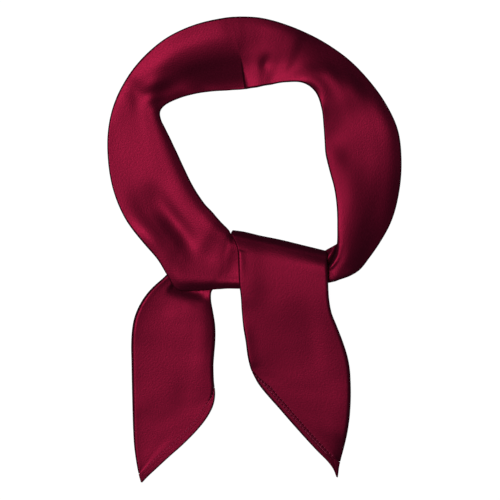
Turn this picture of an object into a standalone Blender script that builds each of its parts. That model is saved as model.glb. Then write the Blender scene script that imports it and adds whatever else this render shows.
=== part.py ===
"""A silk square scarf, folded on the bias into a soft band, looped, half-knotted and laid flat.

The folded band is a stack of thin layers, so each stretch that shows is one rounded solid whose
edges are stepped into layers. Lengths in the tables are millimetres. +X is right and +Y is away
from the tails, as seen from above, and +Z is up from the table that the scarf lies on.
"""

import math
from collections import namedtuple

import bmesh
import bpy
from mathutils import Vector

MM = 0.001

# Driving dimensions, in millimetres.
GAP = 0.42  # between a tail and its hem
THINNEST = 0.9  # least height of a folded stretch
HEM_WIDTH = 5.0  # the stacked rolled hems along a free edge of the square
HEM_START = 0.1  # share of that width at which the hem comes out of the fold
HEM_PEAK = 0.5  # where across its width the hem is highest
HEM_EDGE = 0.9  # the height of the hem's edges, as a share of its highest point
LOOP_CENTRE = (0.5, 64.7)  # centre of the neck loop

# How finely the sections are drawn.
TOP_STEPS = 14
HEM_TOP_STEPS = 4
LOOP_STEPS = 3  # sections made from each row of a table
TAIL_STEPS = 2
FOLD_SAMPLES = 12
SHARP_ANGLE = 50  # degrees between two faces that are shaded as an edge

# The edges of the folded band.
EDGE_ROUNDNESS = 0.45  # the radius of an edge as a share of its height
EDGE_RADIUS = 0.9  # the largest radius
TIP_LEVEL = 0.52  # the widest point of an edge, as a share of its height
FOLD_MARGIN = 1.5  # folds fade out this near an edge
FULL_WIDTH = 12.0  # the layers of a narrower section are drawn smaller

# The layers that show below an edge's widest point: how far each point lies in, and its level.
LAYERS = ((1.1, 0.40), (0.1, 0.30), (1.1, 0.18), (0.4, 0.09), (1.4, 0.0))

# A section's heights are given at these shares of its width, from edge a to edge b.
SHARES = (0.0, 0.12, 0.30, 0.50, 0.70, 0.88, 1.0)
HEIGHTS = "h0 h12 h30 h50 h70 h88 h100"

Section = namedtuple("Section", "ax ay bx by floor_a floor_b lean hem " + HEIGHTS)
Round = namedtuple("Round", "bearing inner outer floor_in floor_out " + HEIGHTS)
Turn = namedtuple("Turn", "lean forward floor share wider")
Strip = namedtuple("Strip", "ax ay bx by floor " + HEIGHTS + " hem")
Pillow = namedtuple("Pillow", "ax ay bx by floor crown peak edge_a edge_b hem")
Fold = namedtuple("Fold", "x0 y0 xm ym x1 y1 rise left right power fade_in fade_out")

# The neck loop, clockwise from under the knot's left side to under its right side: bearing and
# radii about LOOP_CENTRE, the underside's height at the inner and outer edge, and the top's
# heights above the table from the inner edge to the outer one.
LOOP = [
    Round(268.0, 62.0, 90.0, 3.4, 3.4, 4.4, 5.2, 4.8, 4.9, 5.2, 5.5, 4.5),
    Round(260.0, 60.0, 91.5, 3.4, 3.4, 4.5, 5.3, 5.0, 4.7, 4.6, 5.0, 4.5),
    Round(256.0, 59.0, 93.2, 3.3, 3.5, 4.5, 5.5, 5.3, 4.9, 4.7, 5.1, 4.6),
    Round(253.5, 56.2, 94.6, 3.2, 3.6, 4.5, 5.6, 5.4, 5.1, 4.9, 5.4, 4.7),
    Round(251.0, 54.2, 96.2, 2.8, 3.7, 4.7, 5.9, 5.6, 5.2, 5.0, 5.6, 4.8),
    Round(246.0, 52.2, 100.0, 2.1, 4.1, 5.0, 6.3, 5.8, 5.2, 5.4, 5.9, 5.1),
    Round(240.5, 50.3, 103.8, 1.4, 4.8, 5.4, 6.7, 6.2, 5.3, 6.5, 6.8, 6.5),
    Round(235.0, 48.8, 99.5, 0.8, 4.8, 5.4, 6.7, 6.5, 5.0, 7.1, 7.6, 7.2),
    Round(228.0, 48.0, 95.2, 0.2, 3.2, 5.2, 6.5, 6.4, 4.8, 7.4, 8.4, 7.8),
    Round(219.0, 47.0, 94.5, 0.0, 0.8, 5.1, 6.4, 6.4, 4.7, 7.0, 8.6, 7.9),
    Round(208.0, 46.6, 95.5, 0.0, 0.0, 5.0, 6.4, 6.4, 4.9, 5.7, 7.1, 7.4),
    Round(196.0, 47.3, 95.8, 0.0, 0.0, 4.8, 6.2, 6.4, 6.2, 6.1, 6.4, 6.6),
    Round(184.0, 50.0, 95.8, 0.0, 0.0, 4.7, 6.1, 6.4, 6.3, 6.2, 6.2, 6.3),
    Round(174.0, 54.5, 96.3, 0.0, 0.0, 4.7, 6.0, 6.3, 6.2, 6.2, 6.2, 6.3),
    Round(167.0, 59.5, 96.5, 0.0, 0.0, 4.8, 5.9, 6.2, 6.1, 6.2, 6.3, 6.2),
    Round(162.0, 64.2, 96.4, 0.0, 0.0, 4.9, 5.9, 6.1, 6.1, 6.3, 6.3, 6.1),
    Round(158.0, 66.4, 96.2, 0.0, 0.0, 4.6, 5.7, 6.1, 6.0, 6.3, 6.3, 5.9),
    Round(153.5, 65.2, 95.8, 0.0, 0.0, 3.4, 4.4, 6.1, 6.2, 6.4, 6.3, 5.9),
    Round(147.0, 60.5, 95.2, 0.0, 0.0, 3.1, 4.0, 5.2, 7.6, 7.8, 7.5, 7.0),
    Round(138.0, 54.0, 94.1, 0.0, 0.0, 3.4, 4.2, 5.4, 7.6, 8.9, 8.5, 7.8),
    Round(128.0, 48.0, 92.7, 0.0, 0.0, 1.5, 2.4, 4.9, 8.3, 10.0, 10.1, 10.1),
    Round(117.0, 43.2, 90.5, 0.0, 0.0, 1.0, 2.2, 5.1, 8.7, 10.5, 10.6, 10.7),
    Round(107.0, 40.8, 88.6, 0.0, 0.0, 1.1, 2.3, 5.2, 8.6, 10.4, 10.4, 10.0),
    Round(101.0, 40.1, 87.8, 0.0, 0.0, 1.6, 2.8, 5.4, 8.5, 10.0, 9.9, 9.3),
    Round(99.8, 40.0, 87.6, 0.0, 0.0, 2.2, 3.4, 5.6, 8.4, 9.9, 9.7, 9.1),
    Round(98.4, 39.9, 87.4, 0.0, 0.0, 5.8, 6.0, 6.6, 8.4, 9.7, 9.5, 8.9),
    Round(94.0, 40.1, 86.8, 0.0, 0.0, 6.9, 6.8, 7.2, 8.4, 9.2, 9.0, 8.3),
    Round(88.0, 40.6, 86.0, 0.0, 0.0, 7.3, 7.2, 7.6, 8.4, 8.7, 8.5, 7.6),
    Round(82.0, 42.0, 84.9, 0.0, 0.0, 7.2, 7.1, 7.3, 8.3, 8.4, 8.2, 7.1),
    Round(76.0, 43.6, 83.9, 0.0, 0.0, 7.1, 7.0, 7.3, 8.0, 8.0, 7.7, 6.6),
    Round(70.0, 46.2, 83.3, 0.0, 0.0, 7.6, 7.5, 7.5, 7.4, 7.2, 6.5, 5.3),
    Round(64.0, 48.9, 83.1, 0.0, 0.0, 8.2, 8.2, 7.5, 6.6, 5.7, 4.6, 3.2),
    Round(54.0, 53.5, 83.5, 0.0, 0.0, 9.2, 9.4, 8.6, 6.8, 4.8, 3.0, 1.8),
    Round(44.0, 54.2, 84.7, 0.0, 0.0, 8.1, 9.3, 9.1, 8.3, 5.6, 3.4, 2.0),
    Round(32.0, 50.8, 86.7, 0.0, 0.0, 8.8, 8.5, 8.2, 8.4, 7.4, 4.6, 2.9),
    Round(20.0, 47.2, 90.0, 0.0, 0.0, 7.9, 7.7, 7.4, 7.4, 7.2, 6.3, 4.6),
    Round(8.0, 45.5, 93.7, 0.0, 0.0, 7.4, 7.2, 7.2, 7.2, 7.2, 6.9, 5.5),
    Round(-4.0, 45.9, 95.4, 0.0, 0.0, 8.1, 8.1, 7.3, 6.8, 6.5, 5.8, 4.4),
    Round(-16.0, 50.3, 97.5, 0.0, 0.0, 8.0, 8.2, 8.0, 7.1, 6.0, 4.6, 2.6),
    Round(-27.0, 57.9, 99.9, 0.0, 0.0, 7.9, 8.2, 8.2, 7.2, 5.5, 3.9, 2.3),
    Round(-36.0, 65.6, 101.0, 0.0, 0.0, 7.9, 8.3, 8.2, 7.3, 5.4, 3.4, 2.1),
    Round(-43.0, 72.9, 102.1, 1.6, 0.0, 7.9, 8.3, 8.2, 7.4, 5.8, 3.6, 2.2),
    Round(-48.5, 80.2, 103.4, 3.2, 0.0, 7.2, 8.0, 7.9, 7.4, 6.1, 4.4, 3.0),
    Round(-52.5, 85.5, 102.7, 3.8, 0.0, 6.4, 7.5, 7.4, 7.2, 6.5, 5.7, 4.6),
    Round(-57.0, 89.0, 100.6, 3.8, 0.0, 6.2, 7.2, 6.9, 6.9, 6.8, 6.3, 5.6),
    Round(-58.5, 89.0, 100.1, 3.6, 0.0, 5.4, 6.1, 6.4, 6.5, 6.5, 6.2, 5.4),
    Round(-60.5, 88.2, 99.0, 2.0, 0.0, 4.8, 5.2, 5.4, 5.6, 5.8, 5.6, 5.0),
    Round(-63.0, 87.0, 97.8, 0.0, 0.0, 4.6, 4.9, 5.0, 5.0, 5.0, 5.0, 4.8),
]

# The creases of the loop: start, middle and end of each line, its rise (below 0 for a trough),
# its reach to the left and right of the line, how sharp it is (1 a crease, 2 soft), and the
# share of the line over which each end fades.
LOOP_FOLDS = [
    # the crease that ends the pocket
    Fold(-7.0, 103.0, -9.2, 118.0, -12.5, 135.0, -0.4, 4.0, 3.0, 1.2, 0.05, 0.70),
    # the dimple to the right of the crease
    Fold(1.5, 115.0, 5.0, 122.5, 9.5, 130.0, -0.8, 3.0, 3.0, 1.6, 0.40, 0.60),
    # the faint hollow high on the left
    Fold(-76.0, 112.0, -77.0, 100.0, -76.0, 82.0, -0.3, 4.0, 4.0, 2.0, 0.50, 0.60),
]

# The wrap and the front tail, from the knot's upper edge to the tip: a is the left edge and b the
# right one. Heights are above the underside's. The wrap turns over the knot's upper edge from
# below. TURN gives each row's lean, how far it is set forward, its inside's height above the
# table, its thickness as a share of TURN_HEIGHTS, and how far its ends reach over what lies
# beside the knot.
TURN_LEFT = ((-14.1, 8.1), (-11.4, 4.0))
TURN_RIGHT = ((45.2, -4.8), (46.6, -8.4))
TURN_HEIGHTS = (4.4, 5.0, 4.8, 5.0, 4.7, 4.4, 4.2)
TURN = [
    Turn(170, -2.0, 2.4, 0.44, 0.0),
    Turn(145, -1.0, 2.5, 0.52, 0.0),
    Turn(118, -0.3, 3.2, 0.84, 0.0),
    Turn(90, 0.0, 4.2, 1.0, 0.2),
    Turn(62, 0.5, 5.9, 0.68, 1.5),
    Turn(34, 2.1, 7.1, 0.50, 1.0),
]
FRONT_TAIL = [
    Strip(-10.9, -0.8, 47.6, -12.0, 7.3, 3.6, 3.4, 3.3, 3.2, 3.2, 3.3, 3.3, 0),
    Strip(-10.5, -10.0, 47.9, -19.8, 8.0, 4.2, 4.0, 3.7, 3.4, 3.2, 3.1, 3.0, 0),
    Strip(-10.0, -20.4, 48.1, -26.3, 8.2, 4.2, 4.0, 3.6, 3.3, 3.2, 3.1, 3.0, 0),
    Strip(-8.8, -30.8, 48.6, -32.8, 7.7, 3.9, 3.8, 3.6, 3.5, 3.4, 3.4, 3.3, 0),
    Strip(-7.9, -39.9, 50.2, -41.2, 6.8, 3.8, 3.8, 3.8, 3.8, 3.7, 3.8, 3.6, 0),
    Strip(-6.7, -50.3, 54.1, -51.0, 5.7, 4.2, 4.1, 4.1, 4.2, 3.8, 4.0, 3.7, 0),
    Strip(-5.1, -60.1, 57.8, -60.7, 4.6, 4.8, 4.5, 4.5, 4.6, 4.1, 4.2, 3.9, 0),
    Strip(-3.9, -69.2, 60.6, -69.8, 3.6, 5.1, 4.9, 4.8, 4.9, 4.5, 4.5, 4.3, 0),
    Strip(-2.1, -77.0, 62.0, -77.6, 2.7, 5.0, 5.1, 5.1, 5.2, 4.8, 4.8, 4.5, 0),
    Strip(0.1, -82.8, 62.5, -84.8, 2.0, 5.1, 5.2, 5.3, 5.3, 5.1, 5.0, 4.8, 0.4),
    Strip(3.1, -88.0, 62.7, -92.6, 1.4, 5.2, 5.3, 5.3, 5.3, 5.2, 5.0, 4.8, 1),
    Strip(8.3, -94.5, 62.5, -101.0, 0.9, 5.2, 5.2, 5.2, 5.2, 5.1, 5.0, 4.8, 1),
    Strip(16.1, -103.3, 61.8, -110.1, 0.4, 5.1, 5.0, 5.0, 5.0, 5.0, 4.8, 4.5, 1),
    Strip(24.5, -113.0, 60.3, -119.9, 0, 4.8, 4.7, 4.6, 4.6, 4.5, 4.2, 3.8, 1),
    Strip(33.0, -122.5, 58.3, -128.6, 0, 4.2, 4.0, 3.8, 3.6, 3.3, 3.0, 2.6, 1),
    Strip(40.8, -130.9, 56.4, -135.8, 0, 3.6, 3.3, 3.1, 2.9, 2.6, 2.4, 2.2, 1),
    Strip(47.3, -137.4, 55.2, -141.0, 0, 2.9, 2.8, 2.6, 2.4, 2.2, 2.1, 2.0, 1),
    Strip(51.2, -142.6, 54.7, -144.9, 0, 2.4, 2.3, 2.2, 2.1, 2.0, 1.9, 1.9, 1),
    Strip(53.3, -147.8, 54.3, -148.1, 0, 2.0, 1.9, 1.9, 1.9, 1.8, 1.8, 1.8, 1),
]
FRONT_TAIL_FOLDS = [
    # the rolled edge down the left of the wrap
    Fold(-7.0, 0.0, -5.8, -10.0, -4.8, -26.0, 0.4, 3.0, 5.0, 2.0, 0.40, 0.50),
    # the trough down the right of the wrap
    Fold(31.0, -28.0, 36.0, -62.0, 41.0, -86.0, -0.35, 5.0, 5.0, 2.0, 0.40, 0.50),
]

# The back tail, from the knot's core to its tip. It passes under the left stretch of the loop.
BACK_TAIL = [
    Strip(-2.8, 2.3, -2.8, -17.2, 0.0, 2.1, 2.5, 2.7, 2.7, 2.7, 2.5, 2.1, 0),
    Strip(-11.9, 1.7, -11.2, -19.1, 0.0, 2.1, 2.5, 2.7, 2.7, 2.7, 2.5, 2.1, 0),
    Strip(-22.3, -0.3, -18.4, -21.7, 0.0, 2.1, 2.5, 2.7, 2.7, 2.7, 2.5, 2.1, 0),
    Strip(-34.0, -2.9, -23.9, -24.3, 0.0, 2.2, 2.6, 2.8, 2.8, 2.8, 2.6, 2.2, 0),
    Strip(-45.0, -6.8, -27.3, -26.6, 0.0, 2.5, 2.7, 2.8, 2.9, 2.9, 2.7, 2.3, 0),
    Strip(-52.8, -12.3, -28.1, -29.5, 0.0, 3.5, 3.4, 3.3, 3.3, 3.0, 2.6, 2.2, 0),
    Strip(-59.3, -18.5, -28.0, -33.4, 0.0, 4.9, 4.3, 3.9, 3.7, 3.5, 3.0, 2.3, 0),
    Strip(-65.2, -23.7, -27.3, -37.6, 0.0, 5.8, 5.1, 4.7, 4.4, 4.2, 3.7, 2.7, 0),
    Strip(-70.4, -29.5, -26.4, -42.5, 0.0, 6.6, 5.9, 5.3, 5.0, 4.8, 4.2, 3.1, 0),
    Strip(-74.9, -36.7, -25.5, -48.4, 0.0, 6.7, 6.0, 5.4, 5.3, 5.0, 4.4, 3.3, 0),
    Strip(-78.0, -44.5, -25.2, -54.2, 0.0, 6.8, 6.1, 5.5, 5.2, 5.0, 4.6, 3.5, 0),
    Strip(-79.5, -52.9, -25.4, -60.7, 0.0, 6.8, 6.2, 5.6, 5.2, 4.9, 4.6, 3.6, 0),
    Strip(-80.0, -62.7, -26.0, -67.9, 0.0, 6.1, 5.8, 5.4, 5.1, 4.8, 4.6, 3.9, 0),
    Strip(-79.8, -73.1, -26.5, -75.7, 0.0, 5.6, 5.4, 5.2, 5.0, 4.8, 4.7, 4.2, 0),
    Strip(-79.6, -84.8, -26.2, -85.4, 0.0, 5.1, 4.9, 4.8, 4.7, 4.6, 4.4, 4.1, 0),
    Strip(-79.4, -93.9, -25.4, -93.9, 0.0, 4.7, 4.6, 4.5, 4.4, 4.2, 4.0, 3.8, 0.3),
    Strip(-79.2, -102.3, -26.8, -101.7, 0.0, 4.4, 4.3, 4.1, 4.0, 3.8, 3.7, 3.7, 1),
    Strip(-79.0, -110.1, -31.1, -109.8, 0.0, 4.0, 3.8, 3.7, 3.6, 3.6, 3.6, 3.6, 1),
    Strip(-78.7, -117.9, -37.6, -117.9, 0.0, 3.7, 3.5, 3.4, 3.4, 3.4, 3.4, 3.4, 1),
    Strip(-78.2, -126.4, -46.0, -126.4, 0.0, 3.4, 3.2, 3.1, 3.1, 3.1, 3.2, 3.2, 1),
    Strip(-77.2, -134.8, -55.4, -134.8, 0.0, 3.2, 3.0, 2.9, 2.9, 2.9, 3.0, 3.0, 1),
    Strip(-76.0, -142.0, -63.2, -142.0, 0.0, 2.9, 2.8, 2.7, 2.6, 2.6, 2.7, 2.7, 1),
    Strip(-74.8, -147.5, -69.1, -147.5, 0.0, 2.5, 2.4, 2.4, 2.3, 2.3, 2.3, 2.3, 1),
    Strip(-73.7, -151.3, -72.7, -151.3, 0.0, 2.2, 2.1, 2.1, 2.1, 2.0, 2.0, 2.0, 1),
]
BACK_TAIL_FOLDS = [
    Fold(-44.0, -75.0, -46.0, -92.0, -50.0, -106.0, -0.25, 7.0, 7.0, 2.0, 0.50, 0.50),
]

# The hidden layers inside the knot, and the corner that shows beside it.
KNOT_CORE = [
    Pillow(-0.8, -0.6, -0.8, -24.0, 0.0, 7.3, 0.50, 6.0, 6.0, 0),
    Pillow(9.0, -1.6, 9.0, -24.3, 0.0, 7.3, 0.50, 6.0, 6.0, 0),
    Pillow(20.0, -4.0, 21.0, -24.3, 0.0, 7.3, 0.50, 6.0, 6.0, 0),
    Pillow(31.0, -6.6, 35.0, -23.6, 0.0, 7.3, 0.50, 6.0, 6.0, 0),
    Pillow(38.0, -8.6, 42.5, -22.8, 0.0, 7.3, 0.50, 6.0, 6.0, 0),
]
INNER_TUCK = [
    Pillow(46.2, -0.4, 54.2, 3.9, 0.0, 3.2, 0.78, 2.2, 2.0, 0),
    Pillow(45.7, -2.0, 54.0, 1.8, 0.0, 3.8, 0.70, 2.3, 2.0, 0),
    Pillow(45.6, -4.0, 53.4, -1.2, 0.0, 4.6, 0.52, 2.4, 2.4, 0),
    Pillow(45.8, -6.4, 52.0, -5.0, 0.0, 4.8, 0.34, 2.4, 2.4, 0),
    Pillow(46.4, -9.2, 50.2, -9.2, 0.0, 3.8, 0.28, 2.4, 2.3, 0),
    Pillow(47.0, -11.4, 49.4, -11.4, 0.0, 2.8, 0.50, 2.2, 2.2, 0),
]


def smooth(share):
    """Rises from 0 to 1 with level ends, as share goes from 0 to 1."""
    share = min(max(share, 0.0), 1.0)
    return share * share * (3 - 2 * share)


def between(before, start, end, after, share):
    """A Catmull-Rom curve from start to end."""
    slope_in = (end - before) / 2
    slope_out = (after - start) / 2
    rise = end - start
    cubic = slope_in + slope_out - 2 * rise
    square = 3 * rise - 2 * slope_in - slope_out
    return ((cubic * share + square) * share + slope_in) * share + start


def filled_in(rows, steps):
    """The rows with steps - 1 more between each two, every column on a smooth curve."""
    dense = []
    last = len(rows) - 1
    for index in range(last):
        before, after = rows[max(index - 1, 0)], rows[min(index + 2, last)]
        columns = list(zip(before, rows[index], rows[index + 1], after))
        for step in range(steps):
            dense.append(type(rows[0])(*(between(*column, step / steps) for column in columns)))
    return dense + [rows[-1]]


def at_bearing(row):
    """A row of the loop as a section: a is its inner edge and b its outer edge."""
    angle = math.radians(row.bearing)
    along, up = math.cos(angle), math.sin(angle)
    x, y = LOOP_CENTRE
    floors = [row.floor_in + share * (row.floor_out - row.floor_in) for share in SHARES]
    return Section(
        x + row.inner * along,
        y + row.inner * up,
        x + row.outer * along,
        y + row.outer * up,
        row.floor_in,
        row.floor_out,
        0,
        0,
        *(height - floor for height, floor in zip(row[-len(SHARES) :], floors)),
    )


def laid(row):
    """A row of Strip as a section."""
    return Section(*row[:5], row.floor, 0, row.hem, *row[5:-1])


def plumped(row):
    """A row of Pillow as a section with a rounded top from edge to edge."""
    heights = []
    for share in SHARES:
        if share < row.peak:
            low, run = row.edge_a, share / row.peak
        else:
            low, run = row.edge_b, (1 - share) / (1 - row.peak)
        heights.append(low + (row.crown - low) * math.sin(math.pi / 2 * run))
    return Section(*row[:4], row.floor, row.floor, 0, row.hem, *heights)


def turn_section(row):
    """One of the wrap's sections round the knot's upper edge."""
    left, right = (
        Vector(edge) + row.forward * (Vector(top) - Vector(edge)).normalized()
        for edge, top in (TURN_LEFT, TURN_RIGHT)
    )
    outward = row.wider * (right - left).normalized()
    left, right = left - outward, right + outward
    heights = (row.share * height for height in TURN_HEIGHTS)
    return Section(*left, *right, row.floor, row.floor, row.lean, 0, *heights)


def fold_line(fold):
    """Points along a fold, on a curve through its start, middle and end."""
    start, middle, end = Vector(fold[0:2]), Vector(fold[2:4]), Vector(fold[4:6])
    pull = 2 * middle - (start + end) / 2
    shares = [step / FOLD_SAMPLES for step in range(FOLD_SAMPLES + 1)]
    return [start * (1 - t) ** 2 + pull * 2 * t * (1 - t) + end * t * t for t in shares]


def fold_height(place, fold, line):
    """How far a fold lifts or lowers the cloth at a place seen from above."""
    nearest = None
    for index, (start, end) in enumerate(zip(line, line[1:])):
        run = end - start
        along = min(max((place - start).dot(run) / run.length_squared, 0.0), 1.0)
        offset = place - (start + along * run)
        if nearest is None or offset.length < nearest[0]:
            side = run.x * offset.y - run.y * offset.x
            nearest = (offset.length, side, (index + along) / FOLD_SAMPLES)
    distance, side, share = nearest
    reach = fold.left if side > 0 else fold.right
    ends = smooth(share / fold.fade_in) * smooth((1 - share) / fold.fade_out)
    return fold.rise * ends * math.exp(-((distance / reach) ** fold.power))


def top_height(section, share, width):
    """The height of a section above its underside, before folds, at a share of its width."""
    heights = section[-len(SHARES) :]
    pairs = zip(heights, heights[1:], SHARES, SHARES[1:])
    slopes = [(high - low) / (end - start) for low, high, start, end in pairs]
    middles = [(slope + after) / 2 for slope, after in zip(slopes, slopes[1:])]
    tangents = [slopes[0], *middles, slopes[-1]]
    index = sum(share >= start for start in SHARES[1:-1])
    span = SHARES[index + 1] - SHARES[index]
    t = (share - SHARES[index]) / span
    body = heights[index] + (heights[index + 1] - heights[index]) * smooth(t)
    body += span * t * (1 - t) * (tangents[index] * (1 - t) - tangents[index + 1] * t)
    rounding = 1.0
    for edge, distance in ((section.h0, share * width), (section.h100, (1 - share) * width)):
        short = 1 - min(distance / min(edge * EDGE_ROUNDNESS, EDGE_RADIUS), 1.0)
        rounding *= math.sqrt(1 - short * short)
    return body * (TIP_LEVEL + (1 - TIP_LEVEL) * rounding)


def ring_points(section, folds, top_steps):
    """The points round one section: over its top from a to b, then back along its underside."""
    a = Vector((section.ax, section.ay, max(section.floor_a, 0.0)))
    b = Vector((section.bx, section.by, max(section.floor_b, 0.0)))
    across = b - a
    width = across.length
    square = Vector((-across.y, across.x, 0)).normalized()
    lean = math.radians(section.lean)
    outward = Vector((0, 0, math.cos(lean))) + square * math.sin(lean)
    points = []
    for step in range(top_steps + 1):
        share = (1 - math.cos(math.pi * step / top_steps)) / 2
        height = top_height(section, share, width)
        place = a + share * across
        margin = min(share, 1 - share) * width / FOLD_MARGIN
        if margin > 0 and not section.lean:
            lift = sum(fold_height(place.xy, fold, line) for fold, line in folds)
            height = max(height + lift * min(margin, 1.0), THINNEST)
        points.append(place + outward * height)
    scale = min(1.0, width / FULL_WIDTH)
    layers = [(inset * scale / width, level) for inset, level in LAYERS]
    for inset, level in layers:
        points.append(a + (1 - inset) * across + outward * level * section.h100)
    for inset, level in reversed(layers):
        points.append(a + inset * across + outward * level * section.h0)
    return points


def lofted(name, sections, material, folds=(), top_steps=TOP_STEPS):
    """One closed solid through its sections, with its origin at the middle of the first one."""
    folds = [(fold, fold_line(fold)) for fold in folds]
    first = sections[0]
    origin = Vector(((first.ax + first.bx) / 2, (first.ay + first.by) / 2, 0)) * MM
    shape = bmesh.new()
    rings = [
        [shape.verts.new(point * MM - origin) for point in ring_points(section, folds, top_steps)]
        for section in sections
    ]
    count = len(rings[0])
    for ring, following in zip(rings, rings[1:]):
        for index in range(count):
            after = (index + 1) % count
            shape.faces.new((ring[index], ring[after], following[after], following[index]))
    for end in (rings[0], rings[-1]):
        shape.faces.new(end)
    bmesh.ops.recalc_face_normals(shape, faces=shape.faces[:])
    mesh = bpy.data.meshes.new(name)
    shape.to_mesh(mesh)
    shape.free()
    mesh.shade_smooth()
    mesh.set_sharp_from_angle(angle=math.radians(SHARP_ANGLE))
    mesh.materials.append(material)
    piece = bpy.data.objects.new(name, mesh)
    piece.location = origin
    return piece


def panel_and_hem(sections, hem_on_b):
    """Splits a tail's sections into its panel and, along its free edge, a rolled hem."""
    panel, hem = [], []
    last = len(sections) - 1
    for index, section in enumerate(sections):
        a, b = Vector((section.ax, section.ay)), Vector((section.bx, section.by))
        edge, other = (b, a) if hem_on_b else (a, b)
        before, after = sections[max(index - 1, 0)], sections[min(index + 1, last)]
        run = Vector((after.bx - before.bx, after.by - before.by))
        if not hem_on_b:
            run = Vector((after.ax - before.ax, after.ay - before.ay))
        across = other - edge
        slant = abs(run.normalized().cross(across.normalized()))
        starts = section.hem > HEM_START
        hem_share = section.hem * HEM_WIDTH / slant / across.length
        panel_share = hem_share + GAP / slant / across.length if starts else 0.0
        inner = edge + across * min(panel_share, 1.0)
        if (other - inner).length > THINNEST:
            moved = {"bx": inner.x, "by": inner.y} if hem_on_b else {"ax": inner.x, "ay": inner.y}
            panel.append(section._replace(**moved))
        else:
            hem_share = 1.0
        if starts:
            inner = edge + across * hem_share
            top = section.h100 if hem_on_b else section.h0
            sides = (HEM_EDGE * top, HEM_EDGE * top)
            hem.append(plumped(Pillow(*edge, *inner, section.floor_a, top, HEM_PEAK, *sides, 0)))
    return panel, hem


def satin(name, colour, roughness):
    """A smooth dyed silk finish."""
    material = bpy.data.materials.new(name)
    material.use_nodes = True
    shader = material.node_tree.nodes["Principled BSDF"]
    shader.inputs["Base Color"].default_value = (*colour, 1.0)
    shader.inputs["Roughness"].default_value = roughness
    shader.inputs["Metallic"].default_value = 0.0
    material.diffuse_color = (*colour, 1.0)
    return material


def build():
    for leftover in list(bpy.data.objects):
        bpy.data.objects.remove(leftover)
    burgundy = satin("burgundy_silk_satin", (0.165, 0.006, 0.025), 0.38)
    rolled = satin("burgundy_rolled_hem", (0.135, 0.005, 0.020), 0.45)

    loop = [at_bearing(row) for row in filled_in(LOOP, LOOP_STEPS)]
    wrap = [turn_section(row) for row in TURN]
    front = filled_in(wrap + [laid(row) for row in FRONT_TAIL], TAIL_STEPS)
    back = filled_in([laid(row) for row in BACK_TAIL], TAIL_STEPS)
    core = [plumped(row) for row in KNOT_CORE]
    tuck = filled_in([plumped(row) for row in INNER_TUCK], TAIL_STEPS)
    front_panel, front_hem = panel_and_hem(front, hem_on_b=False)
    back_panel, back_hem = panel_and_hem(back, hem_on_b=True)

    pieces = [
        lofted("loop_band", loop, burgundy, LOOP_FOLDS),
        lofted("front_tail", front_panel, burgundy, FRONT_TAIL_FOLDS),
        lofted("back_tail", back_panel, burgundy, BACK_TAIL_FOLDS),
        lofted("front_tail_hem", front_hem, rolled, top_steps=HEM_TOP_STEPS),
        lofted("back_tail_hem", back_hem, rolled, top_steps=HEM_TOP_STEPS),
        lofted("knot_core", core, burgundy),
        lofted("inner_tuck", tuck, burgundy, top_steps=HEM_TOP_STEPS),
    ]
    scarf = bpy.data.collections.new("silk_square_scarf")
    bpy.context.scene.collection.children.link(scarf)
    root = bpy.data.objects.new("scarf", None)
    scarf.objects.link(root)
    for piece in pieces:
        scarf.objects.link(piece)
        piece.parent = root


build()
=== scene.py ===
"""The looks of a silk square scarf, folded into a soft band, looped, half-knotted and laid flat.

Each stretch of the band is a thin shell of satin on its solid's form. A shell starts as a grid,
its rows run along the band, and its columns run once round it: over the top, then back along the
stepped edges and the underside. The main creases are listed in FOLDS tables. The cloth's
sizes and tables are millimetres, in the frame's own axes. The stage and the materials are metres.
"""

import math
from collections import namedtuple

import bpy
import numpy as np
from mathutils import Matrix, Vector


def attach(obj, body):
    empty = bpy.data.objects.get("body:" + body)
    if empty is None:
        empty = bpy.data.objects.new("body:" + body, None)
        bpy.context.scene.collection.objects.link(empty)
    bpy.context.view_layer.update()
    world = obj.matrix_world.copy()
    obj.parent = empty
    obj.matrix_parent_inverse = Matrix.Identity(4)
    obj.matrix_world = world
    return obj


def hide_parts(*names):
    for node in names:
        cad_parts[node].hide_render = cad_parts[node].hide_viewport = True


MM = 0.001

# The silk satin. Its real floats are 0.1 mm wide, too fine to show, so they are drawn wider.
SATIN_THICKNESS = 0.3
SATIN_FACE, SATIN_SHADE = "#3f1022", "#000000"
SATIN_ROUGHNESS, ROUGHNESS_SPREAD = 0.45, 0.06
SATIN_SHEEN = "#ff2f65"  # the reflection takes the dye's colour
SATIN_IOR = 1.7  # silk's own is 1.55, raised to match the strength of the sheen
BIAS = math.radians(45)  # the turn of the weave in a band that is folded corner to corner
FLOAT_SPACING = 0.0012
GRAIN_SIZE = 0.0011
GRAIN_SHARE = 0.94  # of the weave, beside the floats
MOTTLE_SIZE = 0.030
MOTTLE_SHARE = 0.2  # of the tone, beside the weave
WEAVE_DEPTH = 0.00025

# The sewing thread. Its colours are painted much lighter than the satin's dye: a painted highlight,
# for the bright lines and dashes along the hems.
THREAD_HIGHLIGHT_DARKER, THREAD_HIGHLIGHT_LIGHTER = "#a83656", "#d05078"
THREAD_ROUGHNESS = 0.5
THREAD_SHEEN = "#ff597c"
TWIST_SPACING = 0.0004
TWIST_DEPTH = 0.00005

# The stage: a table, a large soft light and a camera straight above.
TABLE_SIZE = 6.0
TABLE_COLOUR, TABLE_ROUGHNESS = "#ededed", 0.8
TABLE_GLOW = 1.12
TABLE_REFLECTION = 0.12  # the share of the table's look that isn't its glow
VIEW_WIDTH = 0.325  # of table that the picture shows
VIEW_CENTRE = (-0.0028, -0.0003)
LENS, SENSOR = 400.0, 36.0  # millimetres
LIGHT_BEARING, LIGHT_ELEVATION = math.radians(152), math.radians(74)
LIGHT_DISTANCE = 4.0
LIGHT_SIZE = (1.6, 0.7)
LIGHT_WATTS = 85.5
ROOM_COLOUR = "#e7edff"
ROOM_STRENGTH = 0.06

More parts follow.
